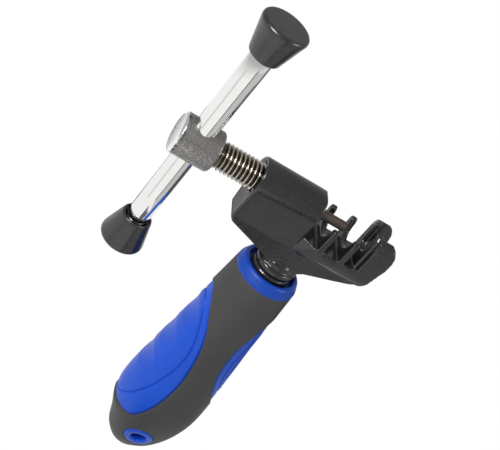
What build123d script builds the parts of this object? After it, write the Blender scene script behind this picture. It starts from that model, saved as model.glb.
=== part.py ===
from build123d import *
from math import radians, sin, cos, sqrt
import os

os.makedirs("parts", exist_ok=True)

# Bicycle chain tool. Units are millimetres.
# Frame: origin at the middle of the hanging hole, +Z up the handle, +X along the
# drive screw towards the anvil, +Y away from the user. The hole runs along Y.

# ---- overall layout ----
screw_z = 116.0            # drive screw axis above the hanging hole
head_x = -47.3             # tommy bar crosses the screw head here
bar_tilt = -5.3            # rest angle of the tommy bar about the screw axis

# ---- drive screw (M10 x 1.5) ----
thread_pitch = 1.5
thread_r = 4.95
thread_depth = 0.9
screw_clear = 0.05
head_r = thread_r + 2.09
head_len = 14.3
screw_end = -8.0
head_bevel = 0.7

# ---- casting: screw block ----
block_left = -25.0
block_right = -1.6
boss_r = thread_r + 2.4
web_half = 4.8
nose_r = 1.4
end_round = 0.5
blend_top = -2.0           # where the boss starts to narrow, below the screw axis
blend_low = -14.2          # where it has become the web

# ---- casting: chain cradle (heights are below the screw axis) ----
cradle_half = 8.0
bed_floor = -8.2
bed_round = -9.8           # where the bed's sides start to round under
bed_foot = -15.4
cradle_end = 28.3
row_1_x = 4.5
row_2_x = 12.8
row_t = 2.15
seat_r = 5.65
finger_y = 7.15
finger_r = 1.35
plate_x = 19.2
plate_half = 5.6
anvil_x = 20.2
slot_half = 2.8
pocket_x = 21.1
pocket_half = 5.0
slot_drop = 0.8            # slot bottom arc centre below the screw axis
anvil_top = 6.0

# ---- casting: neck and tang ----
neck_r = 6.6
flange_r = 7.75
flange_top = 92.2
flange_foot = 86.4
tang_r = 5.0
tang_end = 26.0

# ---- pusher pin ----
pin_r = 1.72
pin_tip = 10.0
pin_hole = 10.0
pin_clear = 0.04
pin_gap = 0.4
pin_chamfer = 0.35

# ---- tommy bar and caps ----
bar_r = 4.0
bar_clear = 0.05
cap_out = 49.3
cap_in = 37.2
cap_r_wide = bar_r + 4.0
cap_r_narrow = bar_r + 1.4
cap_floor = 1.9

# ---- handle ----
rubber_t = 2.6
pad_drop = 0.6
sleeve_top = 85.2
core_top = 84.0
grip_half_width = 17.1
grip_half_depth = 14.9
grip_neck_r = 11.9
# height above the hole, half width in X, half depth in Y at full size
grip_shape = [
    (84.0, 11.9, 11.9),
    (77.5, 12.4, 12.2),
    (71.0, 12.9, 12.6),
    (64.0, 13.5, 13.0),
    (56.0, 14.05, 13.2),
    (48.0, 14.8, 13.7),
    (40.0, 15.5, 14.1),
    (32.0, 16.2, 14.5),
    (24.0, 16.8, 14.8),
    (17.0, 17.1, 14.9),
    (11.0, 16.9, 14.5),
    (6.0, 16.1, 13.7),
    (1.0, 14.8, 12.5),
    (-4.0, 12.8, 10.8),
    (-8.5, 10.2, 8.6),
    (-12.0, 7.4, 6.2),
    (-14.6, 4.2, 3.6),
    (-15.5, 2.1, 1.8),
]
collar_bore = 9.0
collar_r_top = 10.5
collar_r_low = grip_neck_r - 0.05
collar_top = 88.7
eyelet_r = 5.6
hang_r = 2.9


def handle_form(inset, top):
    """Oval handle shape, taken in by inset all round, from its foot up to top."""
    with BuildPart() as form:
        for z, a0, b0 in grip_shape:
            a = a0 * grip_half_width / 17.1 if z < 11 else (
                grip_neck_r + (a0 - 11.9) * (grip_half_width - grip_neck_r) / 5.2
            )
            b = b0 * grip_half_depth / 14.9 if z < 11 else (
                grip_neck_r + (b0 - 11.9) * (grip_half_depth - grip_neck_r) / 3.0
            )
            if a - inset < 1.2 or b - inset < 1.2:
                continue
            with BuildSketch(Plane.XY.offset(z)):
                Ellipse(a - inset, b - inset)
        loft()
        with BuildSketch(Plane.XY.offset(top)):
            Rectangle(60, 60)
        extrude(amount=60, mode=Mode.SUBTRACT)
    return form.part


def ring_thread(x0, x1):
    """Half profile of a threaded rod from its tip x0 back to x1, one groove a pitch."""
    pts = [(x0, 0.0), (x0, thread_r - thread_depth), (x0 - 0.9, thread_r)]
    n = int((x0 - x1 - 2.0) / thread_pitch)
    for i in range(n):
        s = x0 - 1.1 - i * thread_pitch
        pts.append((s, thread_r))
        pts.append((s - 0.55, thread_r - thread_depth))
        pts.append((s - 0.75, thread_r - thread_depth))
        pts.append((s - 1.3, thread_r))
    pts.append((x1, thread_r))
    pts.append((x1, 0.0))
    return pts


def across(x):
    """Plane square to the screw at x, with the screw axis as its origin and Y across."""
    return Plane((x, 0, screw_z), x_dir=(0, 1, 0), z_dir=(1, 0, 0))


screw_plane = Plane((0, 0, screw_z), x_dir=(1, 0, 0), z_dir=(0, -1, 0))
side_plane = Plane((0, 0, 0), x_dir=(1, 0, 0), z_dir=(0, -1, 0))

# ---- body casting: block, web, cradle, teeth, anvil, neck and tang in one piece ----
with BuildPart() as body_casting:
    # cradle bed, wider than the web, with rounded lower edges
    with BuildSketch(across(block_right - 5)):
        with BuildLine():
            Line((-web_half, bed_foot), (-web_half, bed_foot + 0.6))
            ThreePointArc(
                (-web_half, bed_foot + 0.6),
                (-0.89 * cradle_half, bed_round - 2.6),
                (-cradle_half, bed_round),
            )
            Polyline(
                (-cradle_half, bed_round),
                (-cradle_half, bed_floor),
                (cradle_half, bed_floor),
                (cradle_half, bed_round),
            )
            ThreePointArc(
                (cradle_half, bed_round),
                (0.89 * cradle_half, bed_round - 2.6),
                (web_half, bed_foot + 0.6),
            )
            Line((web_half, bed_foot + 0.6), (web_half, bed_foot))
            Line((web_half, bed_foot), (-web_half, bed_foot))
        make_face()
    extrude(amount=cradle_end - block_right + 5)
    # three-cornered facet where the bed flares out from the web, near side and far side
    for side in (-1, 1):
        corner_top = Vector(block_right + 0.5, side * web_half, screw_z + bed_floor)
        corner_out = Vector(row_1_x - 0.5, side * cradle_half, screw_z + bed_floor)
        corner_low = Vector(block_right - 0.1, side * web_half, screw_z + blend_low)
        edge_low = Vector(row_2_x - 0.8, side * cradle_half, screw_z + bed_floor - 3.3)
        for p, q, r in ((corner_top, corner_out, corner_low), (corner_low, corner_out, edge_low)):
            outwards = (q - p).cross(r - p)
            if outwards.Y * side < 0:
                outwards = outwards * -1
            with BuildSketch(Plane(q, x_dir=q - p, z_dir=outwards)):
                Rectangle(60, 60)
            extrude(amount=20, mode=Mode.SUBTRACT)
    # web that carries the block and the bed down to the neck
    with BuildSketch(side_plane):
        with BuildLine():
            Polyline(
                (block_left, screw_z + 2.0),
                (block_left, screw_z - 14.4),
                (block_left + 1.5, screw_z - 16.2),
                (-14.5, screw_z - 19.2),
                (-8.3, screw_z - 21.4),
                (-6.0, flange_top + 0.8),
                (5.6, flange_top + 0.8),
                (8.0, screw_z - 21.1),
                (17.1, screw_z - 18.0),
                (24.0, screw_z - 15.5),
                (26.4, screw_z - 11.8),
                (26.4, screw_z + bed_floor + 1.2),
                (plate_x + 2, screw_z + bed_floor + 1.2),
                (plate_x + 2, screw_z + bed_floor),
                (block_right, screw_z + bed_floor),
                (block_right, screw_z + 2.0),
                close=True,
            )
        make_face()
    extrude(amount=web_half, both=True)
    # boss round the screw, drawn in gently to the web below it
    with BuildSketch(across(block_left)):
        Circle(boss_r)
        with BuildLine():
            Polyline(
                (-sqrt(boss_r**2 - blend_top**2), blend_top),
                (-web_half, blend_low),
                (web_half, blend_low),
                (sqrt(boss_r**2 - blend_top**2), blend_top),
                close=True,
            )
        make_face()
    extrude(amount=block_right - block_left)
    # round the end of the block where the screw goes in
    fillet(body_casting.faces().sort_by(Axis.X)[0].outer_wire().edges(), end_round)
    # round the top corner of the boss at the cradle side
    with BuildSketch(side_plane):
        with BuildLine():
            Polyline(
                (block_right - nose_r, screw_z + boss_r),
                (block_right - nose_r, screw_z + boss_r + 4),
                (block_right + 4, screw_z + boss_r + 4),
                (block_right + 4, screw_z + boss_r - nose_r),
                (block_right, screw_z + boss_r - nose_r),
            )
            RadiusArc(
                (block_right, screw_z + boss_r - nose_r),
                (block_right - nose_r, screw_z + boss_r),
                -nose_r,
            )
        make_face()
    extrude(amount=20, both=True, mode=Mode.SUBTRACT)
    # two rows of chain fingers with a rounded seat between them
    for row_x in (row_1_x, row_2_x):
        with BuildSketch(across(row_x)):
            with BuildLine():
                Polyline(
                    (-cradle_half - 0.1, bed_floor - 0.4),
                    (-finger_y - finger_r, 0.0),
                )
                ThreePointArc(
                    (-finger_y - finger_r, 0.0),
                    (-finger_y, finger_r),
                    (-finger_y + finger_r, 0.0),
                )
                Line((-finger_y + finger_r, 0.0), (-seat_r, -0.5))
                ThreePointArc((-seat_r, -0.5), (0.0, -seat_r - 0.15), (seat_r, -0.5))
                Line((seat_r, -0.5), (finger_y - finger_r, 0.0))
                ThreePointArc(
                    (finger_y - finger_r, 0.0),
                    (finger_y, finger_r),
                    (finger_y + finger_r, 0.0),
                )
                Polyline(
                    (finger_y + finger_r, 0.0),
                    (cradle_half + 0.1, bed_floor - 0.4),
                    (-cradle_half - 0.1, bed_floor - 0.4),
                )
            make_face()
        extrude(amount=row_t)
    # anvil at the far end, with a narrower plate standing on its face
    with BuildSketch(across(anvil_x)):
        with BuildLine():
            Polyline(
                (-cradle_half, bed_floor - 1.0),
                (-cradle_half, anvil_top - 3.2),
                (-cradle_half + 0.7, anvil_top - 1.2),
                (-cradle_half + 2.3, anvil_top),
                (cradle_half - 2.3, anvil_top),
                (cradle_half - 0.7, anvil_top - 1.2),
                (cradle_half, anvil_top - 3.2),
                (cradle_half, bed_floor - 1.0),
                close=True,
            )
        make_face()
    extrude(amount=cradle_end - anvil_x)
    with BuildSketch(across(plate_x)):
        with BuildLine():
            Polyline(
                (-plate_half, bed_floor - 1.0),
                (-plate_half, anvil_top - 2.0),
                (-plate_half + 1.2, anvil_top - 0.5),
                (plate_half - 1.2, anvil_top - 0.5),
                (plate_half, anvil_top - 2.0),
                (plate_half, bed_floor - 1.0),
                close=True,
            )
        make_face()
    extrude(amount=anvil_x - plate_x + 1)
    # slot for the chain pin, opening into a wider pocket behind the lip
    with BuildSketch(across(plate_x - 1)):
        with Locations((0, -slot_drop)):
            Circle(slot_half)
        with Locations((0, 10 - slot_drop)):
            Rectangle(2 * slot_half, 20)
    extrude(amount=cradle_end - plate_x + 2, mode=Mode.SUBTRACT)
    with BuildSketch(across(pocket_x)):
        Circle(pocket_half)
        with Locations((0, 10)):
            Rectangle(2 * pocket_half, 20)
    extrude(amount=20, mode=Mode.SUBTRACT)
    # shape the tail: sloping end and rounded corners seen from the side
    with BuildSketch(side_plane):
        with BuildLine():
            Polyline(
                (plate_x - 2, screw_z - 26.0),
                (17.1, screw_z - 18.0),
                (22.6, screw_z - 16.1),
                (24.3, screw_z - 15.2),
                (25.6, screw_z - 13.6),
                (26.4, screw_z - 11.2),
                (27.4, screw_z - 5.8),
                (28.1, screw_z - 2.5),
                (28.1, screw_z + 0.5),
                (27.6, screw_z + 3.0),
                (26.5, screw_z + 4.9),
                (25.0, screw_z + anvil_top - 0.05),
                (24.6, screw_z + anvil_top + 8),
                (45.0, screw_z + anvil_top + 8),
                (45.0, screw_z - 26.0),
                close=True,
            )
        make_face()
    extrude(amount=30, both=True, mode=Mode.SUBTRACT)
    # neck, flange and tang about the handle axis
    with BuildSketch(Plane.XZ):
        with BuildLine():
            Polyline(
                (0, flange_top + 4.8),
                (4.6, flange_top + 4.8),
                (5.6, flange_top + 2.8),
                (neck_r, flange_top + 1.4),
                (neck_r, flange_top),
                (flange_r - 0.4, flange_top),
                (flange_r, flange_top - 0.5),
                (flange_r, flange_top - 2.2),
                (flange_r - 0.6, flange_top - 2.5),
                (flange_r - 0.6, flange_top - 3.1),
                (flange_r, flange_top - 3.4),
                (flange_r, flange_foot),
                (tang_r, flange_foot),
                (tang_r, tang_end + 1),
                (tang_r - 1, tang_end),
                (0, tang_end),
                close=True,
            )
        make_face()
    revolve(axis=Axis.Z)
    # screw bore right through the boss
    with BuildSketch(across(block_left - 5)):
        Circle(thread_r + screw_clear)
    extrude(amount=block_right - block_left + 6, mode=Mode.SUBTRACT)
    with BuildSketch(across(block_left)):
        Circle(thread_r + 0.75)
    extrude(amount=0.8, taper=43, mode=Mode.SUBTRACT)
body_casting.part.label = "body_casting"
export_step(body_casting.part, "parts/body_casting.step")

# ---- drive screw: threaded spindle with a cross-drilled head ----
with BuildPart() as drive_screw:
    with BuildSketch(screw_plane):
        with BuildLine():
            Polyline(*ring_thread(screw_end, head_x + head_len / 2 - 1.0), close=True)
        make_face()
    revolve(axis=Axis((0, 0, screw_z), (1, 0, 0)))
    with BuildSketch(across(head_x - head_len / 2)):
        Circle(head_r)
    extrude(amount=head_len)
    rims = drive_screw.edges().filter_by(GeomType.CIRCLE).filter_by(
        lambda e: abs(e.radius - head_r) < 0.01
    )
    chamfer(rims, head_bevel)
    # cross hole for the tommy bar, square to the screw
    with BuildSketch(
        Plane(
            (head_x, 0, screw_z),
            x_dir=(1, 0, 0),
            z_dir=(0, sin(radians(bar_tilt)), cos(radians(bar_tilt))),
        )
    ):
        Circle(bar_r + bar_clear)
    extrude(amount=head_r + 3, both=True, mode=Mode.SUBTRACT)
    # blind hole that carries the pusher pin
    with BuildSketch(Plane((screw_end + 1, 0, screw_z), x_dir=(0, 1, 0), z_dir=(-1, 0, 0))):
        Circle(pin_r + pin_clear)
    extrude(amount=pin_hole + 1, mode=Mode.SUBTRACT)
drive_screw.part.label = "drive_screw"
export_step(drive_screw.part, "parts/drive_screw.step")

# ---- pusher pin ----
with BuildPart() as pusher_pin:
    pin_root = screw_end - pin_hole + pin_gap
    with BuildSketch(across(pin_root)):
        Circle(pin_r)
    extrude(amount=pin_tip - pin_root)
    chamfer(pusher_pin.edges().filter_by(GeomType.CIRCLE), pin_chamfer)
pusher_pin.part.label = "pusher_pin"
export_step(pusher_pin.part, "parts/pusher_pin.step")

# ---- tommy bar ----
bar_dir = (0, sin(radians(bar_tilt)), cos(radians(bar_tilt)))
bar_base = Plane((head_x, 0, screw_z), x_dir=(1, 0, 0), z_dir=bar_dir)
bar_half = cap_out - cap_floor
with BuildPart() as tommy_bar:
    with BuildSketch(bar_base.offset(-bar_half)):
        Circle(bar_r)
    extrude(amount=2 * bar_half)
    chamfer(tommy_bar.edges().filter_by(GeomType.CIRCLE), 0.4)
tommy_bar.part.label = "tommy_bar"
export_step(tommy_bar.part, "parts/tommy_bar.step")

# ---- bar caps: tapered plastic knobs pushed over the bar ends ----
for cap_name, cap_sign in (("bar_cap_upper", 1), ("bar_cap_lower", -1)):
    cap_axis_dir = (0, cap_sign * sin(radians(bar_tilt)), cap_sign * cos(radians(bar_tilt)))
    cap_plane = Plane(
        (head_x, 0, screw_z),
        x_dir=(1, 0, 0),
        z_dir=(0, -cap_sign * cos(radians(bar_tilt)), cap_sign * sin(radians(bar_tilt))),
    )
    with BuildPart() as cap:
        with BuildSketch(cap_plane):
            with BuildLine():
                Polyline(
                    (bar_r, cap_in + 0.6),
                    (bar_r + 0.4, cap_in),
                    (cap_r_narrow - 0.5, cap_in),
                    (cap_r_narrow, cap_in + 0.5),
                    (cap_r_wide - 0.35, cap_out - 2.4),
                    (cap_r_wide - 0.1, cap_out - 1.2),
                    (cap_r_wide - 0.6, cap_out - 0.4),
                    (cap_r_wide - 1.9, cap_out),
                    (0, cap_out),
                    (0, bar_half),
                    (bar_r, bar_half),
                    close=True,
                )
            make_face()
        revolve(axis=Axis((head_x, 0, screw_z), cap_axis_dir))
    cap.part.label = cap_name
    export_step(cap.part, f"parts/{cap_name}.step")

# ---- handle pieces ----
outer_form = handle_form(0.0, sleeve_top)
pad_form = handle_form(pad_drop, core_top)
core_form = handle_form(rubber_t, core_top)

# side windows, drawn from the front and cut right through
with BuildPart() as window_left:
    with BuildSketch(side_plane):
        with BuildLine():
            Spline(
                (-9.0, 8.5),
                (-6.6, 11.1),
                (-4.6, 17.3),
                (-2.9, 25.2),
                (-2.2, 34.2),
                (-2.7, 41.7),
                (-4.0, 50.5),
                (-5.9, 57.2),
                (-8.9, 63.9),
                (-12.6, 70.6),
            )
            Polyline((-12.6, 70.6), (-24, 70.6), (-24, 8.5), (-9.0, 8.5))
        make_face()
    extrude(amount=30, both=True)
with BuildPart() as window_right:
    with BuildSketch(side_plane):
        with BuildLine():
            Spline(
                (17.2, 23.6),
                (14.6, 27.2),
                (12.4, 30.7),
                (7.9, 40.0),
                (6.1, 47.5),
                (5.4, 55.0),
                (5.9, 60.6),
                (7.0, 65.1),
                (8.6, 69.4),
                (12.2, 74.6),
            )
            Polyline((12.2, 74.6), (24, 74.6), (24, 23.6), (17.2, 23.6))
        make_face()
    extrude(amount=30, both=True)

with BuildPart() as handle_core:
    add(core_form)
    with BuildSketch(Plane.XZ):
        with BuildLine():
            Polyline(
                (0, core_top + 1),
                (tang_r, core_top + 1),
                (tang_r, tang_end + 1),
                (tang_r - 1, tang_end),
                (0, tang_end),
                close=True,
            )
        make_face()
    revolve(axis=Axis.Z, mode=Mode.SUBTRACT)
    with BuildSketch(Plane.XZ):
        Circle(eyelet_r)
    extrude(amount=30, both=True, mode=Mode.SUBTRACT)
handle_core.part.label = "handle_core"
export_step(handle_core.part, "parts/handle_core.step")

with BuildPart() as grip_sleeve:
    add(outer_form)
    add(core_form, mode=Mode.SUBTRACT)
    add(window_left.part, mode=Mode.SUBTRACT)
    add(window_right.part, mode=Mode.SUBTRACT)
    with BuildSketch(Plane.XZ):
        Circle(eyelet_r)
    extrude(amount=30, both=True, mode=Mode.SUBTRACT)
    with BuildSketch(Plane.XY.offset(core_top)):
        Circle(30)
    extrude(amount=10, mode=Mode.SUBTRACT)
grip_sleeve.part.label = "grip_sleeve"
export_step(grip_sleeve.part, "parts/grip_sleeve.step")

for pad_name, window in (("grip_pad_left", window_left), ("grip_pad_right", window_right)):
    with BuildPart() as pad:
        add(pad_form)
        add(core_form, mode=Mode.SUBTRACT)
        add(window.part, mode=Mode.INTERSECT)
    pad.part.label = pad_name
    export_step(pad.part, f"parts/{pad_name}.step")

with BuildPart() as collar_ring:
    with BuildSketch(Plane.XZ):
        with BuildLine():
            Polyline(
                (tang_r, core_top),
                (collar_r_low, core_top),
                (collar_r_low, core_top + 1.6),
                (collar_r_top + 0.35, collar_top - 0.7),
                (collar_r_top - 0.2, collar_top),
                (collar_bore + 0.3, collar_top),
                (collar_bore, collar_top - 0.4),
                (collar_bore, flange_foot),
                (tang_r, flange_foot),
                close=True,
            )
        make_face()
    revolve(axis=Axis.Z)
collar_ring.part.label = "collar_ring"
export_step(collar_ring.part, "parts/collar_ring.step")

with BuildPart() as hang_eyelet:
    add(outer_form)
    with BuildSketch(Plane.XZ):
        Circle(eyelet_r)
    extrude(amount=30, both=True, mode=Mode.INTERSECT)
    with BuildSketch(Plane.XZ):
        Circle(hang_r)
    extrude(amount=30, both=True, mode=Mode.SUBTRACT)
hang_eyelet.part.label = "hang_eyelet"
export_step(hang_eyelet.part, "parts/hang_eyelet.step")
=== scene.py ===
import math
import bpy
import bmesh
import numpy as np
from mathutils import Matrix, Vector


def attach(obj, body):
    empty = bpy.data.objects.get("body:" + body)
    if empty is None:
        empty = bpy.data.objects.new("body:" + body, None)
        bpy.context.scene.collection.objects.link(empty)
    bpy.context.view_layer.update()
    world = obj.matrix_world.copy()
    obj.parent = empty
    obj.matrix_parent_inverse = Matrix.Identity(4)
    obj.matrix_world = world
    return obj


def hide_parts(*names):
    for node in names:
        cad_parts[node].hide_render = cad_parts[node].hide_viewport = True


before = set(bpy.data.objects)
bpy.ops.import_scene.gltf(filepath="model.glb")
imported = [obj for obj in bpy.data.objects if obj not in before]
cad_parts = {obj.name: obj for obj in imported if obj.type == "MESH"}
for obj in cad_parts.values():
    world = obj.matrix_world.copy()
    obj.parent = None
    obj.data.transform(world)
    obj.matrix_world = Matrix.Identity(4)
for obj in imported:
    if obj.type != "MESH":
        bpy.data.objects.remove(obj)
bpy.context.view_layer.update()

# ------------------------------------------------------------------ body casting
# Screw block, cradle, fingers, anvil, neck and tang are one iron casting under
# sprayed black paint. The CAD solid stays; a fine remesh and a little smoothing
# give it the soft edges of a casting under paint.
CAST_GRAIN = 0.00034
CAST_SMOOTHING = 5
PAINT_BLACK = (0.0055, 0.0056, 0.0062)
PAINT_RUBBED = (0.020, 0.020, 0.021)


def add_node(tree, kind, **settings):
    """Adds a shader node and sets its options."""
    node = tree.nodes.new(kind)
    for key, value in settings.items():
        setattr(node, key, value)
    return node


def new_effect(name, inputs, outputs):
    """Starts a shader node group with named inputs (name, kind, value) and outputs."""
    group = bpy.data.node_groups.new(name, "ShaderNodeTree")
    for label, kind, value in inputs:
        socket = group.interface.new_socket(label, in_out="INPUT", socket_type=kind)
        socket.default_value = value
    for label, kind in outputs:
        group.interface.new_socket(label, in_out="OUTPUT", socket_type=kind)
    return group, group.nodes.new("NodeGroupInput"), group.nodes.new("NodeGroupOutput")


def tone_ramp(tree, stops, source):
    """Turns a value into a grey or a colour through (position, tone) stops."""
    node = tree.nodes.new("ShaderNodeValToRGB")
    marks = node.color_ramp.elements
    while len(marks) < len(stops):
        marks.new(0.5)
    for mark, (position, tone) in zip(marks, stops):
        mark.position = position
        mark.color = (tone, tone, tone, 1) if isinstance(tone, float) else (*tone, 1)
    tree.links.new(source, node.inputs["Fac"])
    return node.outputs["Color"]


def noise_on_piece(tree, scale_from, detail):
    """Noise over the piece's own coordinates, at the scale that a socket gives."""
    place = add_node(tree, "ShaderNodeTexCoord")
    noise = add_node(tree, "ShaderNodeTexNoise")
    noise.inputs["Detail"].default_value = detail
    tree.links.new(place.outputs["Object"], noise.inputs["Vector"])
    tree.links.new(scale_from, noise.inputs["Scale"])
    return noise.outputs["Fac"]


# handling marks: broad soft patches, and a fine speckle
PATCH_SHARE, SPECK_SHARE = 0.6, 0.5
handling, g_in, g_out = new_effect(
    "handling",
    [("Patch", "NodeSocketFloat", 60.0), ("Speck", "NodeSocketFloat", 900.0)],
    [("Wear", "NodeSocketFloat")],
)
patch_noise = noise_on_piece(handling, g_in.outputs["Patch"], 4.0)
speck_noise = noise_on_piece(handling, g_in.outputs["Speck"], 3.0)
patches = tone_ramp(handling, [(0.35, 0.0), (0.68, 1.0)], patch_noise)
specks = tone_ramp(handling, [(0.38, 0.0), (0.62, 1.0)], speck_noise)
share = add_node(handling, "ShaderNodeMath", operation="MULTIPLY")
share.inputs[1].default_value = PATCH_SHARE
both = add_node(handling, "ShaderNodeMath", operation="MULTIPLY_ADD")
both.inputs[1].default_value = SPECK_SHARE
handling.links.new(patches, share.inputs[0])
handling.links.new(specks, both.inputs[0])
handling.links.new(share.outputs[0], both.inputs[2])
handling.links.new(both.outputs[0], g_out.inputs["Wear"])

# fine dimples of sprayed paint, moulded plastic and rubber
dimples, g_in, g_out = new_effect(
    "dimples",
    [
        ("Scale", "NodeSocketFloat", 1500.0),
        ("Strength", "NodeSocketFloat", 0.2),
        ("Depth", "NodeSocketFloat", 0.0001),
    ],
    [("Normal", "NodeSocketVector")],
)
relief = add_node(dimples, "ShaderNodeBump")
dimples.links.new(noise_on_piece(dimples, g_in.outputs["Scale"], 2.0), relief.inputs["Height"])
dimples.links.new(g_in.outputs["Strength"], relief.inputs["Strength"])
dimples.links.new(g_in.outputs["Depth"], relief.inputs["Distance"])
dimples.links.new(relief.outputs["Normal"], g_out.inputs["Normal"])


def place_effect(tree, effect, **values):
    """Puts an effect into a material with its own values."""
    node = tree.nodes.new("ShaderNodeGroup")
    node.node_tree = effect
    for key, value in values.items():
        node.inputs[key].default_value = value
    return node


def new_finish(name, fresh, worn, rough, patch, speck, metallic=0.0, gloss=0.5):
    """A Principled material whose colour and roughness go from fresh to worn with handling."""
    mat = bpy.data.materials.new(name)
    mat.use_nodes = True
    tree = mat.node_tree
    shader = tree.nodes["Principled BSDF"]
    shader.inputs["Metallic"].default_value = metallic
    shader.inputs["Specular IOR Level"].default_value = gloss
    wear = place_effect(tree, handling, Patch=patch, Speck=speck).outputs["Wear"]
    colour = add_node(tree, "ShaderNodeMix", data_type="RGBA")
    colour.name = "fresh_to_worn"
    colour.inputs["A"].default_value = (*fresh, 1)
    colour.inputs["B"].default_value = (*worn, 1)
    tree.links.new(wear, colour.inputs["Factor"])
    tree.links.new(colour.outputs["Result"], shader.inputs["Base Color"])
    spread = add_node(tree, "ShaderNodeMapRange")
    spread.name = "roughness_spread"
    spread.inputs["To Min"].default_value, spread.inputs["To Max"].default_value = rough
    tree.links.new(wear, spread.inputs["Value"])
    tree.links.new(spread.outputs["Result"], shader.inputs["Roughness"])
    return mat


def add_dimples(mat, scale, strength, depth):
    """Gives a finish the fine dimples of paint, plastic or rubber."""
    tree = mat.node_tree
    skin = place_effect(tree, dimples, Scale=scale, Strength=strength, Depth=depth)
    tree.links.new(skin.outputs["Normal"], tree.nodes["Principled BSDF"].inputs["Normal"])


def put_on(piece, mat):
    """Makes a finish the piece's only material."""
    piece.data.materials.clear()
    piece.data.materials.append(mat)


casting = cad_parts["body_casting"]
skin = casting.modifiers.new("cast_skin", "REMESH")
skin.mode = "VOXEL"
skin.voxel_size = CAST_GRAIN
skin.use_smooth_shade = True
edges = casting.modifiers.new("cast_edges", "SMOOTH")
edges.factor = 0.5
edges.iterations = CAST_SMOOTHING
black_paint = new_finish("black_paint", PAINT_BLACK, PAINT_RUBBED, (0.12, 0.22), 90.0, 1300.0, gloss=0.82)
add_dimples(black_paint, 1100.0, 0.35, 0.00010)
put_on(casting, black_paint)

# ------------------------------------------------------- drive screw and its head
# Nickelled steel spindle with a rolled thread about 10 mm across, and a stout turned
# head drilled across for the bar. The thread's radius winds along the axis.
MM = 0.001
TURN = 2.0 * math.pi
SCREW_Z = 116.0
HEAD_X = -47.3
LEAD = 1.5
CREST_R = 4.93
THREAD_DEPTH = 0.92
CREST_FLAT, FLANK_SHARE = 0.14, 0.72
RUNOUT_START, RUNOUT_LENGTH, RUNOUT_DEPTH = 0.9, 1.1, 0.75
TIP_CUT, TIP_SLOPE = 0.95, 0.9
SCREW_TIP = -8.0
PIN_BORE_R = 1.8
PIN_BORE_END = -18.2
HEAD_HALF = 7.15
HEAD_R = 7.04
HOLE_PLAY = 0.06
DRILL_REACH = 12
BAR_R = 4.0
BAR_LEAN = math.radians(-5.3)
bar_line = np.array([0.0, math.sin(BAR_LEAN), math.cos(BAR_LEAN)])


def mesh_piece(name, points_mm, faces):
    """A smooth-shaded piece from points in millimetres and faces, with doubles merged
    and the faces turned outwards."""
    data = bpy.data.meshes.new(name)
    data.from_pydata((np.asarray(points_mm, float) * MM).tolist(), [], faces.tolist())
    work = bmesh.new()
    work.from_mesh(data)
    bmesh.ops.remove_doubles(work, verts=work.verts, dist=1e-7)
    bmesh.ops.recalc_face_normals(work, faces=work.faces)
    work.to_mesh(data)
    work.free()
    data.polygons.foreach_set("use_smooth", [True] * len(data.polygons))
    piece = bpy.data.objects.new(name, data)
    bpy.context.scene.collection.objects.link(piece)
    return piece


def grid_faces(rows, cols, wrap_rows=False):
    """Four-sided faces of a grid of points whose columns close round, and whose rows
    close round too where wrap_rows is set."""
    r, c = np.meshgrid(np.arange(rows if wrap_rows else rows - 1), np.arange(cols), indexing="ij")
    r_next, c_next = (r + 1) % rows, (c + 1) % cols
    corners = [r * cols + c, r * cols + c_next, r_next * cols + c_next, r_next * cols + c]
    return np.stack(corners, axis=-1).reshape(-1, 4)


def ease(x, width):
    """Rises smoothly from 0 to 1 as x goes from 0 to width: 3t^2 - 2t^3."""
    t = np.clip(x / width, 0, 1)
    return t * t * (3 - 2 * t)


def round_corners(profile, reach, steps=4):
    """Each corner of a profile is swapped for a parabola that starts and ends within
    reach of it, or within a third of the shorter side."""
    p = np.asarray(profile, float)
    before, corner, after = p[:-2], p[1:-1], p[2:]
    side_in = np.linalg.norm(before - corner, axis=1)
    side_out = np.linalg.norm(after - corner, axis=1)
    cut = np.minimum(reach, 0.33 * np.minimum(side_in, side_out))[:, None]
    start = corner + (before - corner) / side_in[:, None] * cut
    end = corner + (after - corner) / side_out[:, None] * cut
    t = np.linspace(0, 1, steps + 1)[:, None, None]
    arcs = (1 - t) ** 2 * start + 2 * t * (1 - t) * corner + t ** 2 * end
    return np.vstack([p[:1], arcs.transpose(1, 0, 2).reshape(-1, 2), p[-1:]])


def turned(name, profile, centre, axis, side, segments=96):
    """A profile of (radius, distance along the axis) points turned about an axis: each
    point goes round the circle of its radius at its distance."""
    profile = np.asarray(profile, float)
    axis, side = np.asarray(axis, float), np.asarray(side, float)
    angle = np.linspace(0, TURN, segments, endpoint=False)[:, None]
    ring = np.cos(angle) * side + np.sin(angle) * np.cross(axis, side)
    points = np.asarray(centre, float) + profile[:, 1, None, None] * axis + profile[:, 0, None, None] * ring
    return mesh_piece(name, points.reshape(-1, 3), grid_faces(len(profile), segments))


def apply_modifiers(piece):
    """Makes a piece's modifiers part of its mesh."""
    seen = bpy.context.evaluated_depsgraph_get()
    data = bpy.data.meshes.new_from_object(piece.evaluated_get(seen), depsgraph=seen)
    piece.modifiers.clear()
    piece.data = data
    data.polygons.foreach_set("use_smooth", [True] * len(data.polygons))


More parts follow.
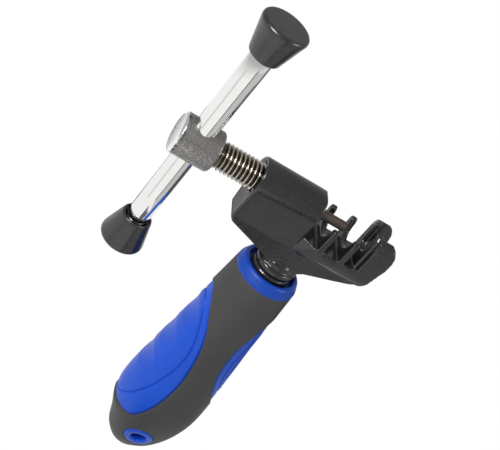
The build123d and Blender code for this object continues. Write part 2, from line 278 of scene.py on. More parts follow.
# the thread: radius falls from the crest to the root and back once a lead, with the
# phase carried round by the angle, and it fades out under the head
along = np.linspace(HEAD_X + HEAD_HALF - 1.0, SCREW_TIP, 460)
around = np.linspace(0, TURN, 96, endpoint=False)
gx, ga = np.meshgrid(along, around, indexing="ij")
phase = (gx / LEAD - ga / TURN) % 1.0
flank = np.clip((np.abs(phase - 0.5) * 2.0 - CREST_FLAT) / FLANK_SHARE, 0, 1)
groove = 0.35 * ease(flank, 1.0) + 0.65 * flank
cut_in = ease(gx - (HEAD_X + HEAD_HALF) - RUNOUT_START, RUNOUT_LENGTH)
radius = CREST_R - THREAD_DEPTH * (groove * cut_in + (1 - cut_in) * RUNOUT_DEPTH)
radius = np.minimum(radius, CREST_R - TIP_CUT + (SCREW_TIP - gx) * TIP_SLOPE)
end_x = np.array([SCREW_TIP, PIN_BORE_END, PIN_BORE_END])[:, None] + 0 * around
end_r = np.array([PIN_BORE_R, PIN_BORE_R, 0.0])[:, None] + 0 * around
gx = np.vstack([gx[:1], gx, end_x])
radius = np.vstack([0 * radius[:1], radius, end_r])
spindle_points = np.stack([gx, radius * np.cos(around), SCREW_Z + radius * np.sin(around)], axis=-1)
spindle = mesh_piece("screw_spindle", spindle_points.reshape(-1, 3), grid_faces(len(gx), len(around)))

head_profile = [
    (0.0, -HEAD_HALF), (HEAD_R - 0.95, -HEAD_HALF), (HEAD_R, -HEAD_HALF + 0.8),
    (HEAD_R, HEAD_HALF - 0.6), (HEAD_R - 0.6, HEAD_HALF), (0.0, HEAD_HALF),
]
head_centre = (HEAD_X, 0, SCREW_Z)
head = turned("screw_head", round_corners(head_profile, 0.35), head_centre, (1, 0, 0), (0, 1, 0), 128)
drill_profile = [
    (0, -DRILL_REACH), (BAR_R + HOLE_PLAY, -DRILL_REACH), (BAR_R + HOLE_PLAY, DRILL_REACH), (0, DRILL_REACH),
]
drill = turned("drill", drill_profile, head_centre, bar_line, (1, 0, 0), 128)
hole = head.modifiers.new("cross_hole", "BOOLEAN")
hole.object = drill
hole.operation = "DIFFERENCE"
hole.solver = "EXACT"
rim = head.modifiers.new("hole_edge", "BEVEL")
rim.width = 0.00035
rim.segments = 3
rim.limit_method = "ANGLE"
rim.angle_limit = math.radians(35)
apply_modifiers(head)
bpy.data.objects.remove(drill)

# long fine marks along one direction, as turning or drawing leaves them in metal
tool_marks, g_in, g_out = new_effect(
    "tool_marks",
    [("Stretch", "NodeSocketVector", (3000.0, 3000.0, 60.0)), ("Strength", "NodeSocketFloat", 0.1)],
    [("Normal", "NodeSocketVector")],
)
place = add_node(tool_marks, "ShaderNodeTexCoord")
pull = add_node(tool_marks, "ShaderNodeVectorMath", operation="MULTIPLY")
lines = add_node(tool_marks, "ShaderNodeTexNoise")
lines.inputs["Scale"].default_value = 1.0
lines.inputs["Detail"].default_value = 3.0
relief = add_node(tool_marks, "ShaderNodeBump")
relief.inputs["Distance"].default_value = 0.00004
tool_marks.links.new(place.outputs["Object"], pull.inputs[0])
tool_marks.links.new(g_in.outputs["Stretch"], pull.inputs[1])
tool_marks.links.new(pull.outputs["Vector"], lines.inputs["Vector"])
tool_marks.links.new(lines.outputs["Fac"], relief.inputs["Height"])
tool_marks.links.new(g_in.outputs["Strength"], relief.inputs["Strength"])
tool_marks.links.new(relief.outputs["Normal"], g_out.inputs["Normal"])


def add_tool_marks(mat, stretch, strength):
    """Gives a metal finish the marks of turning or drawing."""
    tree = mat.node_tree
    marks = place_effect(tree, tool_marks, Stretch=stretch, Strength=strength)
    tree.links.new(marks.outputs["Normal"], tree.nodes["Principled BSDF"].inputs["Normal"])


thread_nickel = new_finish("thread_nickel", (0.80, 0.76, 0.68), (0.55, 0.50, 0.43), (0.10, 0.24),
                           200.0, 2500.0, metallic=1.0)
add_tool_marks(thread_nickel, (4000.0, 500.0, 500.0), 0.12)
# painted shade darkens the root of the thread, by how far it lies below the crest
ROOT_SHADE_START, ROOT_SHADE_FULL = 0.25, 0.7
tree = thread_nickel.node_tree
place = add_node(tree, "ShaderNodeTexCoord")
off_axis = add_node(tree, "ShaderNodeVectorMath", operation="SUBTRACT")
off_axis.inputs[1].default_value = (0, 0, SCREW_Z * MM)
flat = add_node(tree, "ShaderNodeVectorMath", operation="MULTIPLY")
flat.inputs[1].default_value = (0, 1, 1)
reach = add_node(tree, "ShaderNodeVectorMath", operation="LENGTH")
root_shade = add_node(tree, "ShaderNodeMapRange")
root_shade.inputs["From Min"].default_value = (CREST_R - ROOT_SHADE_START) * MM
root_shade.inputs["From Max"].default_value = (CREST_R - ROOT_SHADE_FULL) * MM
shaded_root = add_node(tree, "ShaderNodeMix", data_type="RGBA")
# this dark brown is the painted shade of the thread roots
shaded_root.inputs["B"].default_value = (0.10, 0.082, 0.060, 1)
tree.links.new(place.outputs["Object"], off_axis.inputs[0])
tree.links.new(off_axis.outputs[0], flat.inputs[0])
tree.links.new(flat.outputs[0], reach.inputs[0])
tree.links.new(reach.outputs["Value"], root_shade.inputs["Value"])
tree.links.new(root_shade.outputs["Result"], shaded_root.inputs["Factor"])
tree.links.new(tree.nodes["fresh_to_worn"].outputs["Result"], shaded_root.inputs["A"])
tree.links.new(shaded_root.outputs["Result"], tree.nodes["Principled BSDF"].inputs["Base Color"])
put_on(spindle, thread_nickel)

# the head is coarse turned nickel round its side, polished on its outer end, with
# pitting beside the ragged line between the two; distances are from the outer end
HEAD_END = HEAD_X - HEAD_HALF
POLISH_FULL, POLISH_STOP = 1.45, 1.75
PITS_FULL, PITS_STOP = 1.9, 3.1
RAGGED_WANDER = 1.6
head_nickel = new_finish("head_nickel", (0.46, 0.45, 0.43), (0.17, 0.165, 0.155), (0.3, 0.5),
                         1500.0, 3200.0, metallic=1.0)
add_tool_marks(head_nickel, (900.0, 3200.0, 3200.0), 1.0)
tree = head_nickel.node_tree
shader = tree.nodes["Principled BSDF"]
place = add_node(tree, "ShaderNodeTexCoord")
split = add_node(tree, "ShaderNodeSeparateXYZ")
tree.links.new(place.outputs["Object"], split.inputs[0])
ragged = add_node(tree, "ShaderNodeTexNoise")
ragged.inputs["Scale"].default_value = 420.0
ragged.inputs["Detail"].default_value = 4.0
tree.links.new(place.outputs["Object"], ragged.inputs["Vector"])
wander = add_node(tree, "ShaderNodeMath", operation="MULTIPLY_ADD")
wander.inputs[1].default_value = RAGGED_WANDER * MM
tree.links.new(ragged.outputs["Fac"], wander.inputs[0])
tree.links.new(split.outputs["X"], wander.inputs[2])
polish = add_node(tree, "ShaderNodeMapRange")
polish.inputs["From Min"].default_value = (HEAD_END + POLISH_STOP) * MM
polish.inputs["From Max"].default_value = (HEAD_END + POLISH_FULL) * MM
tree.links.new(wander.outputs[0], polish.inputs["Value"])
pits = add_node(tree, "ShaderNodeMapRange")
pits.inputs["From Min"].default_value = (HEAD_END + PITS_STOP) * MM
pits.inputs["From Max"].default_value = (HEAD_END + PITS_FULL) * MM
tree.links.new(wander.outputs[0], pits.inputs["Value"])
spots = tone_ramp(tree, [(0.50, 0.0), (0.60, 1.0)], ragged.outputs["Fac"])
pitted = add_node(tree, "ShaderNodeMath", operation="MULTIPLY")
tree.links.new(pits.outputs["Result"], pitted.inputs[0])
tree.links.new(spots, pitted.inputs[1])
turned_colour = tree.nodes["fresh_to_worn"].outputs["Result"]
dark = add_node(tree, "ShaderNodeMix", data_type="RGBA")
dark.inputs["B"].default_value = (0.06, 0.057, 0.052, 1)
tree.links.new(pitted.outputs[0], dark.inputs["Factor"])
tree.links.new(turned_colour, dark.inputs["A"])
bright = add_node(tree, "ShaderNodeMix", data_type="RGBA")
bright.inputs["B"].default_value = (0.93, 0.93, 0.93, 1)
tree.links.new(polish.outputs["Result"], bright.inputs["Factor"])
tree.links.new(dark.outputs["Result"], bright.inputs["A"])
tree.links.new(bright.outputs["Result"], shader.inputs["Base Color"])
smooth_end = add_node(tree, "ShaderNodeMix", data_type="FLOAT")
smooth_end.inputs["B"].default_value = 0.14
tree.links.new(polish.outputs["Result"], smooth_end.inputs["Factor"])
tree.links.new(tree.nodes["roughness_spread"].outputs["Result"], smooth_end.inputs["A"])
tree.links.new(smooth_end.outputs["Result"], shader.inputs["Roughness"])
put_on(head, head_nickel)

for piece in (spindle, head):
    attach(piece, "screw")
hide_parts("drive_screw")

# -------------------------------------------------------------------- pusher pin
# Hardened steel pin, brown from heat treatment, set in the tip of the screw. It is
# turned from a profile with a small chamfer at its tip.
PIN_R = 1.72
PIN_BUTT, PIN_TIP = -17.6, 10.0
TIP_BEVEL = 0.38
pin_profile = [
    (0.0, PIN_BUTT), (PIN_R, PIN_BUTT), (PIN_R, PIN_TIP - TIP_BEVEL), (PIN_R - 0.36, PIN_TIP), (0.0, PIN_TIP),
]
pin = turned("pusher_rod", round_corners(pin_profile, 0.12), (0, 0, SCREW_Z), (1, 0, 0), (0, 1, 0), 64)
pin_steel = new_finish("pin_steel", (0.125, 0.098, 0.085), (0.085, 0.068, 0.058), (0.42, 0.6),
                       300.0, 3000.0, metallic=0.7)
add_tool_marks(pin_steel, (400.0, 3500.0, 3500.0), 0.2)
put_on(pin, pin_steel)
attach(pin, "pusher")
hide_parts("pusher_pin")

# --------------------------------------------------------------------- tommy bar
# Bright drawn and nickelled steel rod, a sliding fit in the head's cross hole, with
# its ends hidden in the caps. Turned about the bar's own leaning axis.
BAR_HALF = 47.4
BAR_BEVEL = 0.3
bar_profile = [
    (0.0, -BAR_HALF), (BAR_R - BAR_BEVEL, -BAR_HALF), (BAR_R, BAR_BEVEL - BAR_HALF), (BAR_R, -20),
    (BAR_R, 20), (BAR_R, BAR_HALF - BAR_BEVEL), (BAR_R - BAR_BEVEL, BAR_HALF), (0.0, BAR_HALF),
]
bar = turned("cross_bar", bar_profile, head_centre, bar_line, (1, 0, 0), 128)
bar_nickel = new_finish("bar_nickel", (0.95, 0.95, 0.94), (0.90, 0.90, 0.885), (0.05, 0.13),
                        70.0, 2200.0, metallic=1.0)
add_tool_marks(bar_nickel, (2600.0, 2600.0, 70.0), 0.06)
put_on(bar, bar_nickel)
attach(bar, "bar")
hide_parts("tommy_bar")

# ---------------------------------------------------------------------- bar caps
# Tapered knobs of moulded black plastic, pushed over the bar's ends so that it
# can't slide out of the head. The upper and lower caps are alike.
CAP_IN, CAP_OUT = 37.2, 49.3
cap_profile = [
    (0.0, CAP_IN + 3.0), (4.02, CAP_IN + 3.0), (4.02, CAP_IN + 0.9), (4.55, CAP_IN + 0.75),
    (4.6, CAP_IN + 0.1), (4.75, CAP_IN), (5.1, CAP_IN + 0.02), (5.42, CAP_IN + 0.5),
    (6.1, CAP_IN + 3.2), (7.15, CAP_IN + 7.6), (7.82, CAP_IN + 10.3), (7.92, CAP_IN + 10.9),
    (7.84, CAP_OUT - 0.6), (7.45, CAP_OUT - 0.12), (6.8, CAP_OUT), (0.0, CAP_OUT),
]
cap_black = new_finish("cap_black", (0.007, 0.007, 0.008), (0.020, 0.020, 0.021), (0.2, 0.32),
                       120.0, 1600.0, gloss=0.85)
add_dimples(cap_black, 1800.0, 0.1, 0.00006)
for name, end, node in (("cap_top", 1, "bar_cap_upper"), ("cap_bottom", -1, "bar_cap_lower")):
    cap = turned(name, round_corners(cap_profile, 0.5), head_centre, bar_line * end, (1, 0, 0), 112)
    put_on(cap, cap_black)
    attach(cap, "bar")
    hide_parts(node)

# ------------------------------------------------------------------- handle core
# Moulded blue body that holds the tang. The rubber, the pads and the eye cover it,
# so the CAD solid stays and only takes the blue plastic's finish.
BLUE_FRESH = (0.0030, 0.064, 0.52)
BLUE_WORN = (0.005, 0.078, 0.57)
blue_plastic = new_finish("blue_plastic", BLUE_FRESH, BLUE_WORN, (0.32, 0.46), 70.0, 1500.0, gloss=0.3)
add_dimples(blue_plastic, 2400.0, 0.12, 0.00005)
put_on(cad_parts["handle_core"], blue_plastic)

# ----------------------------------------------------------------- rubber sleeve
# Dark grey rubber moulded over the core, open at both finger pads and at the eye.
# One closed surface over the oval form, pressed in inside the pads' outlines so
# that each opening has a rounded lip, then cut through for the eye.
# The form's rows are height above the hanging hole, half width and half depth.
GRIP_FORM = np.array([
    (-15.7, 0.6, 0.5), (-15.3, 2.3, 1.95), (-14.6, 4.2, 3.6), (-12.0, 7.4, 6.2), (-8.5, 10.2, 8.6),
    (-4.0, 12.8, 10.8), (1.0, 14.8, 12.5), (6.0, 16.1, 13.7), (11.0, 16.9, 14.5), (17.0, 17.1, 14.9),
    (24.0, 16.8, 14.8), (32.0, 16.2, 14.5), (40.0, 15.5, 14.1), (48.0, 14.8, 13.7), (56.0, 14.05, 13.2),
    (64.0, 13.5, 13.0), (71.0, 12.9, 12.6), (77.5, 12.4, 12.2), (86.0, 11.8, 11.8),
])
GRIP_MEAN_R = 15.0
SLEEVE_TOP = 85.0
SLEEVE_WALL = 2.5
TOP_ROUND = 0.6
FOOT_START = -12.0
FOOT_TUCK, FOOT_TUCK_Z, FOOT_TUCK_SPAN = 1.5, -1.0, 7.0
SLOPE_STEP, STEEPEST = 0.2, 3.0
EYE_R = 5.6
PAD_RECESS, EYE_RECESS = 2.2, 0.9
LIP_WIDTH, LIP_OVERLAP = 0.7, 0.15


def fair_curve(xs, ys, at):
    """Natural cubic spline through (xs, ys): between two points the curve is a cubic,
    and its slope and bend run on through every point."""
    gaps = np.diff(xs)
    system = np.diag(np.r_[1.0, 2 * (gaps[:-1] + gaps[1:]), 1.0])
    system += np.diag(np.r_[gaps[:-1], 0.0], -1) + np.diag(np.r_[0.0, gaps[1:]], 1)
    slopes = np.diff(ys) / gaps
    bends = np.linalg.solve(system, np.r_[0.0, 6 * np.diff(slopes), 0.0])
    k = np.clip(np.searchsorted(xs, at) - 1, 0, len(xs) - 2)
    d, h = at - xs[k], gaps[k]
    start_slope = slopes[k] - h * (2 * bends[k] + bends[k + 1]) / 6
    return ys[k] + d * start_slope + d ** 2 * bends[k] / 2 + d ** 3 * (bends[k + 1] - bends[k]) / (6 * h)


def half_width(z):
    """Half the grip's width at a height, on a fair curve through the form's sections."""
    return fair_curve(GRIP_FORM[:, 0], GRIP_FORM[:, 1], z)


def half_depth(z):
    """Half the grip's depth at a height, on a fair curve through the form's sections."""
    return fair_curve(GRIP_FORM[:, 0], GRIP_FORM[:, 2], z)


def on_grip(angle, z, lift):
    """A point of the oval at an angle from +X and a height, moved out by lift along
    the surface normal, which leans by the slope of the half width. The oval is tucked
    in a little on the left of the foot."""
    a, b = half_width(z), half_depth(z)
    tuck = FOOT_TUCK * np.cos(angle) ** 2 * np.exp(-((z - FOOT_TUCK_Z) / FOOT_TUCK_SPAN) ** 2)
    a = a - np.where(np.cos(angle) < 0, tuck, 0)
    rise = half_width(z + SLOPE_STEP) - half_width(z - SLOPE_STEP)
    slope = np.clip(rise / (2 * SLOPE_STEP), -STEEPEST, STEEPEST)
    nx, ny = np.cos(angle) / a, np.sin(angle) / b
    flat = np.hypot(nx, ny)
    size = np.sqrt(1 + slope ** 2)
    return np.stack([
        a * np.cos(angle) + lift * nx / flat / size,
        b * np.sin(angle) + lift * ny / flat / size,
        z - lift * slope / size,
    ], axis=-1)


def outline(points, count=300):
    """A closed outline on one side of the grip, the same in front as behind. Points are
    (degrees from the side's middle, height) from top to bottom; a Catmull-Rom curve is
    drawn through them and read off at even steps, as (arc length, height) in mm."""
    half = np.array([(math.radians(d) * GRIP_MEAN_R, z) for d, z in points])
    loop = np.vstack([half, (half * [-1, 1])[-2:0:-1]])
    p0, p1, p2, p3 = np.roll(loop, 1, 0), loop, np.roll(loop, -1, 0), np.roll(loop, -2, 0)
    t = np.linspace(0, 1, 20, endpoint=False)[:, None, None]
    square, cube = 2 * p0 - 5 * p1 + 4 * p2 - p3, 3 * p1 - p0 - 3 * p2 + p3
    curve = 0.5 * (2 * p1 + (p2 - p0) * t + square * t ** 2 + cube * t ** 3)
    curve = curve.transpose(1, 0, 2).reshape(-1, 2)
    curve = np.vstack([curve, curve[:1]])
    run = np.r_[0.0, np.cumsum(np.linalg.norm(np.diff(curve, axis=0), axis=1))]
    even = np.linspace(0, run[-1], count, endpoint=False)
    return np.stack([np.interp(even, run, curve[:, 0]), np.interp(even, run, curve[:, 1])], axis=1)


def depth_inside(loop, s, z):
    """Distance in mm from each (s, z) to the nearest stretch of a loop, positive inside
    it. A point is inside when a line from it crosses the loop an odd number of times."""
    q = np.stack([s.ravel(), z.ravel()], axis=1)
    nearest = np.full(len(q), 1e9)
    inside = np.zeros(len(q), bool)
    for a, b in zip(loop, np.roll(loop, -1, axis=0)):
        d = b - a
        t = np.clip(((q - a) @ d) / (d @ d), 0, 1)
        nearest = np.minimum(nearest, ((q - a - t[:, None] * d) ** 2).sum(axis=1))
        if a[1] != b[1]:
            crosses = (a[1] > q[:, 1]) != (b[1] > q[:, 1])
            inside ^= crosses & (q[:, 0] < a[0] + (q[:, 1] - a[1]) * d[0] / d[1])
    return np.where(inside, 1, -1).reshape(s.shape) * np.sqrt(nearest).reshape(s.shape)


LEFT_PAD = outline([
    (0, 71.6), (12, 71.2), (27, 68.8), (47.8, 63.4), (63, 57.2), (72.5, 50.5), (79, 42.0), (81.5, 34.2),
    (79, 24.6), (72.3, 16.3), (62, 9.9), (48, 7.4), (27, 6.8), (12, 7.0), (0, 7.2),
])
RIGHT_PAD = outline([
    (0, 76.4), (14, 75.4), (38, 71.8), (49, 69.0), (57.5, 65.1), (63.4, 60.6), (66.3, 54.6), (64.6, 47.5),
    (58, 40.4), (38, 30.7), (20, 25.2), (8, 23.8), (0, 23.5),
])
sleeve_cols = 280
sleeve_z = np.concatenate([
    np.linspace(SLEEVE_TOP, 72.0, 36), np.linspace(72.0, 0.0, 190)[1:], np.linspace(0.0, FOOT_START, 32)[1:],
    FOOT_START + (GRIP_FORM[0, 0] - FOOT_START) * np.sin(np.linspace(0, math.pi / 2, 20))[1:],
])
sleeve_angle = np.linspace(0, TURN, sleeve_cols, endpoint=False)
gz, ga = np.meshgrid(sleeve_z, sleeve_angle, indexing="ij")
from_left = (ga % TURN - math.pi) * GRIP_MEAN_R
from_right = ((ga + math.pi) % TURN - math.pi) * GRIP_MEAN_R
skin_points = on_grip(ga, gz, 0.0)
from_eye = np.hypot(skin_points[..., 0], skin_points[..., 2])
press = PAD_RECESS * ease(depth_inside(LEFT_PAD, from_left, gz) + LIP_OVERLAP, LIP_WIDTH)
press += PAD_RECESS * ease(depth_inside(RIGHT_PAD, from_right, gz) + LIP_OVERLAP, LIP_WIDTH)
press += EYE_RECESS * ease(EYE_R + 0.35 - from_eye, 0.4)
near_top = np.clip(gz - SLEEVE_TOP + TOP_ROUND, 0, TOP_ROUND) / TOP_ROUND
top_round = 0.5 * (1 - np.sqrt(1 - near_top ** 2))
outer_wall = on_grip(ga, gz, -press - top_round)
foot = np.zeros((1, sleeve_cols, 3)) + [0.0, 0.0, GRIP_FORM[0, 0] - 0.05]
inner_z, inner_a = np.meshgrid([-9.0, 0.0, 20.0, 45.0, 70.0, SLEEVE_TOP - 0.4], sleeve_angle, indexing="ij")
inner_wall = on_grip(inner_a, inner_z, -SLEEVE_WALL)
inner_foot = np.zeros((1, sleeve_cols, 3)) + [0.0, 0.0, FOOT_START]
sleeve_points = np.concatenate([outer_wall, foot, inner_foot, inner_wall])
sleeve = mesh_piece(
    "rubber_grip", sleeve_points.reshape(-1, 3), grid_faces(len(sleeve_points), sleeve_cols, wrap_rows=True)
)
eye_profile = [(0, -30), (EYE_R - 0.4, -30), (EYE_R - 0.4, 30), (0, 30)]
eye_tool = turned("eye_tool", eye_profile, (0, 0, 0), (0, 1, 0), (1, 0, 0))
eye_cut = sleeve.modifiers.new("eye_opening", "BOOLEAN")
eye_cut.object = eye_tool
eye_cut.operation = "DIFFERENCE"
eye_cut.solver = "EXACT"
apply_modifiers(sleeve)
bpy.data.objects.remove(eye_tool)
grey_rubber = new_finish("grey_rubber", (0.040, 0.040, 0.040), (0.056, 0.056, 0.056), (0.5, 0.68),
                         55.0, 1800.0, gloss=0.4)
add_dimples(grey_rubber, 3000.0, 0.28, 0.00007)
put_on(sleeve, grey_rubber)
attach(sleeve, "frame_and_handle")
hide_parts("grip_sleeve")

# ------------------------------------------------------------------- finger pads
# Blue plastic pads set a little below the rubber, each with a fine groove inside its
# border, and shallow finger dents down the left one. A pad's grid runs from its
# middle line out to the groove, on to the border, down its side and back beneath.
LEFT_GROOVE = outline([
    (0, 66.6), (10, 66.3), (24, 64.6), (44, 58.6), (57, 51.7), (62.5, 44.6), (61, 35.8), (52.5, 25.4),
    (38, 16.6), (20, 11.4), (8, 9.9), (0, 9.7),
])
RIGHT_GROOVE = outline([
    (0, 69.5), (12, 68.3), (26, 64.8), (38, 60.6), (46, 56.2), (49.5, 51.0), (48, 45.8), (40, 39.6),
    (24, 32.5), (10, 29.6), (0, 29.0),
])
PAD_SET_BACK = 0.55
BORDER_ROUND, BORDER_WIDTH = 0.5, 1.1
FIELD_RISE, FIELD_EASE = 0.12, 1.6
GROOVE_DEPTH, GROOVE_WIDTH = 0.55, 0.30
SPINE_MARGIN = 6
DENT_HEIGHTS = (58.0, 44.5, 31.0)
DENT_HALF_LENGTH = 9.5
DENT_HALF_HEIGHT = 5.2
DENT_DEPTH = 0.6
for name, border, groove_line, middle, dents, node in (
    ("pad_left", LEFT_PAD, LEFT_GROOVE, math.pi, DENT_HEIGHTS, "grip_pad_left"),
    ("pad_right", RIGHT_PAD, RIGHT_GROOVE, 0.0, (), "grip_pad_right"),
):
    low = groove_line[:, 1].min() + SPINE_MARGIN
    high = groove_line[:, 1].max() - SPINE_MARGIN
    spine = np.stack([0 * groove_line[:, 0], np.clip(groove_line[:, 1], low, high)], axis=1)
    to_groove = np.linspace(0, 1, 60)[:, None, None]
    to_border = np.linspace(0, 1, 45)[1:, None, None]
    face = np.concatenate([
        spine + (groove_line - spine) * to_groove, groove_line + (border - groove_line) * to_border,
    ])
    s, z = face[..., 0], face[..., 1]
    in_border = depth_inside(border, s, z)
    in_groove = depth_inside(groove_line, s, z)
    lift = -PAD_SET_BACK - BORDER_ROUND * (1 - ease(in_border, BORDER_WIDTH))
    lift += FIELD_RISE * ease(in_groove, FIELD_EASE)
    lift -= GROOVE_DEPTH * np.exp(-(in_groove / GROOVE_WIDTH) ** 2)
    for dent_z in dents:
        off_middle = (s / DENT_HALF_LENGTH) ** 2 + ((z - dent_z) / DENT_HALF_HEIGHT) ** 2
        lift -= DENT_DEPTH * np.clip(1 - off_middle, 0, 1) * ease(in_groove, 2.0)
    # the side wall drops from the border, and the underside runs back to the middle line
    s = np.concatenate([s, s[-1:], s[-1:], s[:1]])
    z = np.concatenate([z, z[-1:], z[-1:], z[:1]])
    lift = np.concatenate([lift, lift[-1:] - 0.5, 0 * lift[-1:] - 2.3, 0 * lift[:1] - 2.5])
    pad_points = on_grip(middle + s / GRIP_MEAN_R, z, lift)
    pad = mesh_piece(name, pad_points.reshape(-1, 3), grid_faces(len(pad_points), len(border)))
    put_on(pad, blue_plastic)
    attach(pad, "frame_and_handle")
    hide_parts(node)

# ------------------------------------------------------------------- hanging eye
# Blue plastic bush through the foot of the handle, with rounded mouths that follow
# the grip. A section carried round the hole: front mouth, bore, back mouth, outside.
HOLE_R = 2.9
mouth = np.array([
    (EYE_R, -1.6), (EYE_R, -0.25), (EYE_R - 0.12, -0.02), (EYE_R - 0.35, 0.08), (EYE_R - 1.2, 0.1),
    (HOLE_R + 0.75, 0.04), (HOLE_R + 0.32, -0.1), (HOLE_R + 0.08, -0.45), (HOLE_R, -1.0),
])
section = np.vstack([np.c_[mouth, -np.ones(len(mouth))], np.c_[mouth[::-1], np.ones(len(mouth))]])
eye_steps = 112
eye_angle = np.linspace(0, TURN, eye_steps, endpoint=False)
eye_x = section[:, :1] * np.cos(eye_angle)
eye_z = section[:, :1] * np.sin(eye_angle)
skin_y = half_depth(eye_z) * np.sqrt(1 - (eye_x / half_width(eye_z)) ** 2)
eye_y = section[:, 2:] * (skin_y + section[:, 1:2])
eye_points = np.stack([eye_x, eye_y, eye_z], axis=-1)
eye_faces = grid_faces(len(section), eye_steps, wrap_rows=True)
hanging_eye = mesh_piece("hanging_eye", eye_points.reshape(-1, 3), eye_faces)
put_on(hanging_eye, blue_plastic)
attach(hanging_eye, "frame_and_handle")
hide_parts("hang_eyelet")

# ------------------------------------------------------------------------ collar
# Blue plastic ring pressed on the mouth of the handle, with a bevelled lip round
# the casting's flange. Turned from a closed profile.
collar_profile = [
    (5.05, 84.1), (5.05, 86.3), (8.95, 86.3), (9.0, 86.6), (9.05, 88.3), (9.35, 88.72), (10.2, 88.72),
    (10.75, 88.2), (11.8, 85.9), (11.86, 85.2), (11.6, 84.1), (5.05, 84.1),
]
collar = turned("collar", round_corners(collar_profile, 0.3), (0, 0, 0), (0, 0, 1), (1, 0, 0), 144)
collar_blue = new_finish("collar_blue", (0.003, 0.045, 0.33), (0.005, 0.06, 0.42), (0.28, 0.4),
                         90.0, 1500.0, gloss=0.35)
add_dimples(collar_blue, 2400.0, 0.1, 0.00005)
put_on(collar, collar_blue)
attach(collar, "frame_and_handle")
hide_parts("collar_ring")

# ------------------------------------------------------------- floor and backdrop
# A pale table that is plain white to the camera. To everything else it glows, and
# less so far away, so that the metal and the paint have something white to mirror.
# The glow is full up to its reach and least from the far start, both in metres.
FLOOR_Z = -16.2
FLOOR_HALF = 4000
FLOOR_GLOW, FLOOR_GLOW_REACH = 0.93, 0.5
FAR_GLOW, FAR_GLOW_START = 0.45, 1.3
floor_mat = bpy.data.materials.new("pale_floor")
floor_mat.use_nodes = True
tree = floor_mat.node_tree
tree.nodes.remove(tree.nodes["Principled BSDF"])
seen = add_node(tree, "ShaderNodeLightPath")
plain_white = add_node(tree, "ShaderNodeEmission")
table_glow = add_node(tree, "ShaderNodeEmission")
place = add_node(tree, "ShaderNodeTexCoord")
away = add_node(tree, "ShaderNodeVectorMath", operation="LENGTH")
fall = add_node(tree, "ShaderNodeMapRange")
fall.inputs["From Min"].default_value = FLOOR_GLOW_REACH
fall.inputs["From Max"].default_value = FAR_GLOW_START
fall.inputs["To Min"].default_value = FLOOR_GLOW
fall.inputs["To Max"].default_value = FAR_GLOW
tree.links.new(place.outputs["Object"], away.inputs[0])
tree.links.new(away.outputs["Value"], fall.inputs["Value"])
tree.links.new(fall.outputs["Result"], table_glow.inputs["Strength"])
choose = add_node(tree, "ShaderNodeMixShader")
tree.links.new(seen.outputs["Is Camera Ray"], choose.inputs["Fac"])
tree.links.new(table_glow.outputs["Emission"], choose.inputs[1])
tree.links.new(plain_white.outputs["Emission"], choose.inputs[2])
tree.links.new(choose.outputs["Shader"], tree.nodes["Material Output"].inputs["Surface"])
floor_corners = np.array([(-1, -1), (1, -1), (1, 1), (-1, 1)]) * FLOOR_HALF
floor = mesh_piece("floor", np.c_[floor_corners, np.full(4, FLOOR_Z)], np.array([[0, 1, 2, 3]]))
put_on(floor, floor_mat)

# --------------------------------------------------------------- reflection cards
# Grey and black cards laid on the table round the foot of the bar and hidden from the
# camera. Each card glows with its own light instead of being lit, and the metal mirrors
# them as the dark lines and the grey band along the bar.
CARD_RAISE = 0.5


def wedge_card(name, heading, spread, near, far, shade):
    """A flat card between two distances from the bar's foot, spreading by so many
    degrees each side of its heading, which is measured from +X towards +Y."""
    angle = np.radians([heading - spread, heading + spread, heading + spread, heading - spread])
    reach = np.array([near, near, far, far])
    heights = np.full(4, FLOOR_Z + CARD_RAISE)
    corners = np.stack([HEAD_X + reach * np.cos(angle), reach * np.sin(angle), heights], axis=1)
    card = mesh_piece(name, corners, np.array([[0, 1, 2, 3]]))
    mat = bpy.data.materials.new(name)
    mat.use_nodes = True
    card_tree = mat.node_tree
    card_tree.nodes.remove(card_tree.nodes["Principled BSDF"])
    # the card glows at the shade strength, standing in for a lit grey or black card
    card_glow = add_node(card_tree, "ShaderNodeEmission")
    card_glow.inputs["Strength"].default_value = shade
    card_tree.links.new(card_glow.outputs["Emission"], card_tree.nodes["Material Output"].inputs["Surface"])
    put_on(card, mat)
    card.visible_camera = False


wedge_card("card_soft_line", -143.5, 8, 90, 900, 0.68)
wedge_card("card_dark_line", -61.5, 4.5, 90, 900, 0.16)
wedge_card("card_grey_band", -26, 30, 90, 900, 0.54)
wedge_card("card_edge", 20, 15, 130, 900, 0.12)
wedge_card("card_behind", 91, 12, 140, 300, 0.05)
wedge_card("card_under_head", -50, 26, 42, 72, 0.12)

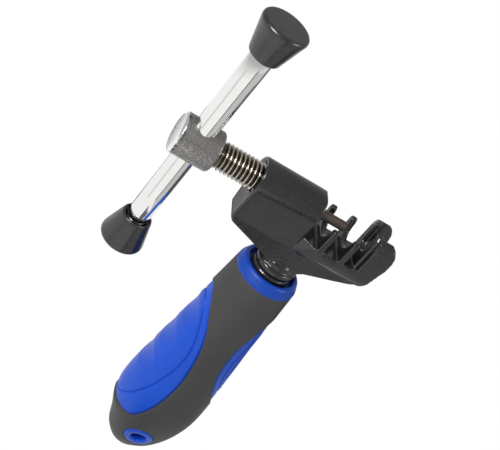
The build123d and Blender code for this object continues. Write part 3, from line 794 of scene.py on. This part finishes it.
# ----------------------------------------------------------- studio lights and sky
# Soft grey sky, lighter towards the horizon, and two softboxes that put small
# bright marks on edges and finger dents. Their places are in metres.
LAMP_AIM = Vector((0, 0, 0.08))
world = bpy.data.worlds.new("studio")
bpy.context.scene.world = world
world.use_nodes = True
tree = world.node_tree
place = add_node(tree, "ShaderNodeTexCoord")
split = add_node(tree, "ShaderNodeSeparateXYZ")
tree.links.new(place.outputs["Generated"], split.inputs[0])
sky = tone_ramp(tree, [(0.0, 0.50), (0.2, 0.46), (0.5, 0.40), (0.85, 0.36)], split.outputs["Z"])
tree.links.new(sky, tree.nodes["Background"].inputs["Color"])
tree.nodes["Background"].inputs["Strength"].default_value = 1.0


def softbox(name, at, size, watts):
    """A square area light aimed at the middle of the handle and head."""
    data = bpy.data.lights.new(name, "AREA")
    data.size = size
    data.energy = watts
    lamp = bpy.data.objects.new(name, data)
    bpy.context.scene.collection.objects.link(lamp)
    lamp.location = at
    lamp.rotation_euler = (LAMP_AIM - Vector(at)).to_track_quat("-Z", "Y").to_euler()


softbox("key_light", (-0.55, -0.45, 0.65), 0.35, 6)
softbox("fill_light", (0.75, -0.30, 0.60), 0.4, 2)
bpy.context.scene.view_settings.view_transform = "Standard"

# ------------------------------------------------------------------------ camera
# Above and to the left of the head, rolled so that the handle runs down to the left.
# Heading is about Z, tilt is up from straight down, and roll is about the line of sight.
CAMERA_AT = (-0.111368, -0.248437, 0.254021)
CAMERA_HEADING = math.radians(-21.004)
CAMERA_TILT = math.radians(59.7696)
CAMERA_ROLL = math.radians(40.0164)
camera_data = bpy.data.cameras.new("camera")
camera_data.lens = 67.70
camera_data.sensor_width = 36.0
camera_data.sensor_fit = "HORIZONTAL"
camera = bpy.data.objects.new("camera", camera_data)
bpy.context.scene.collection.objects.link(camera)
turned_to = Matrix.Rotation(CAMERA_HEADING, 4, "Z") @ Matrix.Rotation(CAMERA_TILT, 4, "X")
camera.matrix_world = Matrix.Translation(CAMERA_AT) @ turned_to @ Matrix.Rotation(CAMERA_ROLL, 4, "Z")
bpy.context.scene.camera = camera
